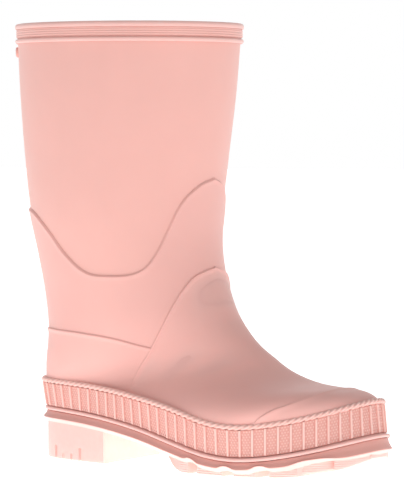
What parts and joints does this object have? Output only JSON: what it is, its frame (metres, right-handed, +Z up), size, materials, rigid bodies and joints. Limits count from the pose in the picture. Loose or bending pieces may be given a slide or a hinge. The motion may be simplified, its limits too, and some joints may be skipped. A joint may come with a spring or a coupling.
{
  "type": "child rubber rain boot",
  "caption": "Short child's rain boot of pink rubber panels over a knitted lining, with ribbed foxing, heel block, cleated sole and a footbed that lifts at the heel.",
  "frame": {"origin": "on the ground under the middle of the boot's length and width", "axes": "+X to the toe, +Y to the inner side of the foot, +Z up"},
  "size_m": [0.1838, 0.0872, 0.1944],
  "materials": {
    "leg_rubber": "matte vulcanised natural rubber, dusty pink",
    "panel_rubber": "matte vulcanised natural rubber, dusty pink",
    "foxing_rubber": "matte moulded rubber, lighter pink",
    "sole_rubber": "matte moulded rubber, lighter pink",
    "sponge": "open sponge rubber",
    "fibre_board": "pressed fibre board",
    "stiffener_canvas": "rubberised canvas",
    "knit": "knitted cotton jersey, off-white",
    "footbed_foam": "soft foam",
    "footbed_cover": "woven textile cover"
  },
  "bodies": {
    "boot": {"leg_sheet": "leg_rubber", "ankle_panel": "panel_rubber", "heel_panel": "panel_rubber", "vamp": "panel_rubber", "toe_cap": "panel_rubber", "collar_band": "leg_rubber", "top_bead": "foxing_rubber", "lower_bead": "foxing_rubber", "back_stud": "leg_rubber", "rope_welt": "foxing_rubber", "foxing_band": "foxing_rubber", "sole_edge_bead": "foxing_rubber", "outsole": "sole_rubber", "forefoot_tread": "sole_rubber", "heel_block": "sole_rubber", "heel_core": "sponge", "midsole_filler": "sponge", "insole_board": "fibre_board", "heel_stiffener": "stiffener_canvas", "toe_stiffener": "stiffener_canvas", "knit_lining": "knit", "footbed_foam_front": "footbed_foam", "footbed_cover_front": "footbed_cover"},
    "footbed_heel": {"footbed_foam_heel": "footbed_foam", "footbed_cover_heel": "footbed_cover"}
  },
  "joints": [
    {"name": "footbed_lift", "type": "hinge", "parent": "boot", "child": "footbed_heel", "pos_m": [0.012, 0, 0.026], "axis": [0, 1, 0], "range_deg": [0, 25]}
  ]
}
